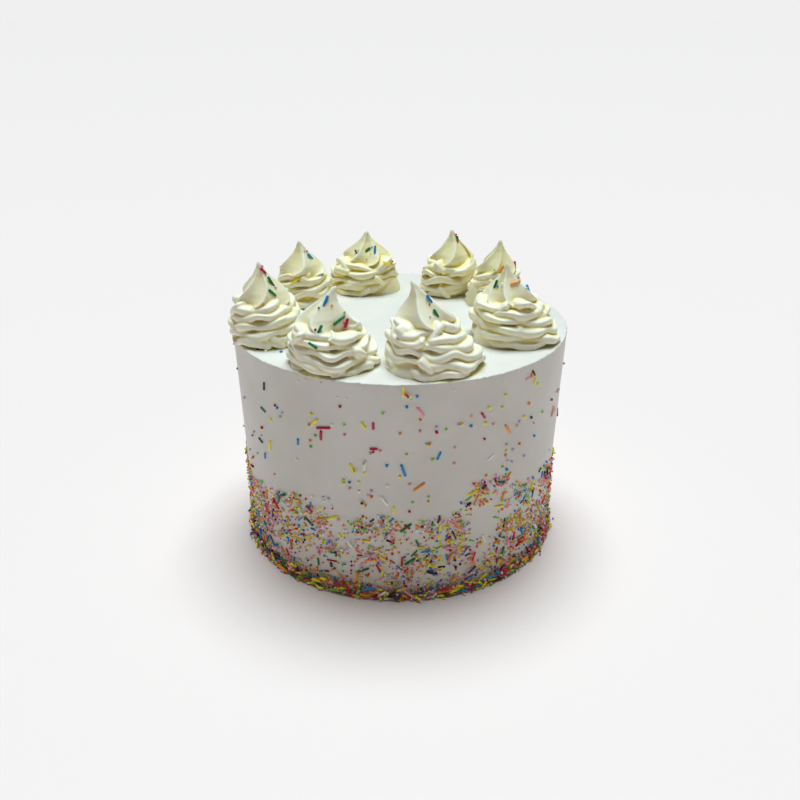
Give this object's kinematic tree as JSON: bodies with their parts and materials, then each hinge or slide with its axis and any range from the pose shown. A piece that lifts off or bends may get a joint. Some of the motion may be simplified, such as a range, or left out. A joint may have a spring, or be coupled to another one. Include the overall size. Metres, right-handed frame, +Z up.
{
  "type": "rainbow sprinkle cake",
  "caption": "Tall round buttercream cake with coloured sugar sprinkles thick round its foot and a ring of piped cream swirls on top.",
  "frame": {"origin": "middle of the flat round underside that the cake stands on", "axes": "+Z up out of the cake's top, -Y towards the front of the cake, +X to the right seen from the front"},
  "size_m": [0.208, 0.2093, 0.1881],
  "materials": {
    "buttercream_icing": "smooth white buttercream, soft sheen",
    "piped_cream": "piped ivory cream, soft sheen"
  },
  "bodies": {
    "root": {"cake_body": "buttercream_icing", "swirl_1": "piped_cream", "swirl_2": "piped_cream", "swirl_3": "piped_cream", "swirl_4": "piped_cream", "swirl_5": "piped_cream", "swirl_6": "piped_cream", "swirl_7": "piped_cream", "swirl_8": "piped_cream"}
  },
  "joints": []
}
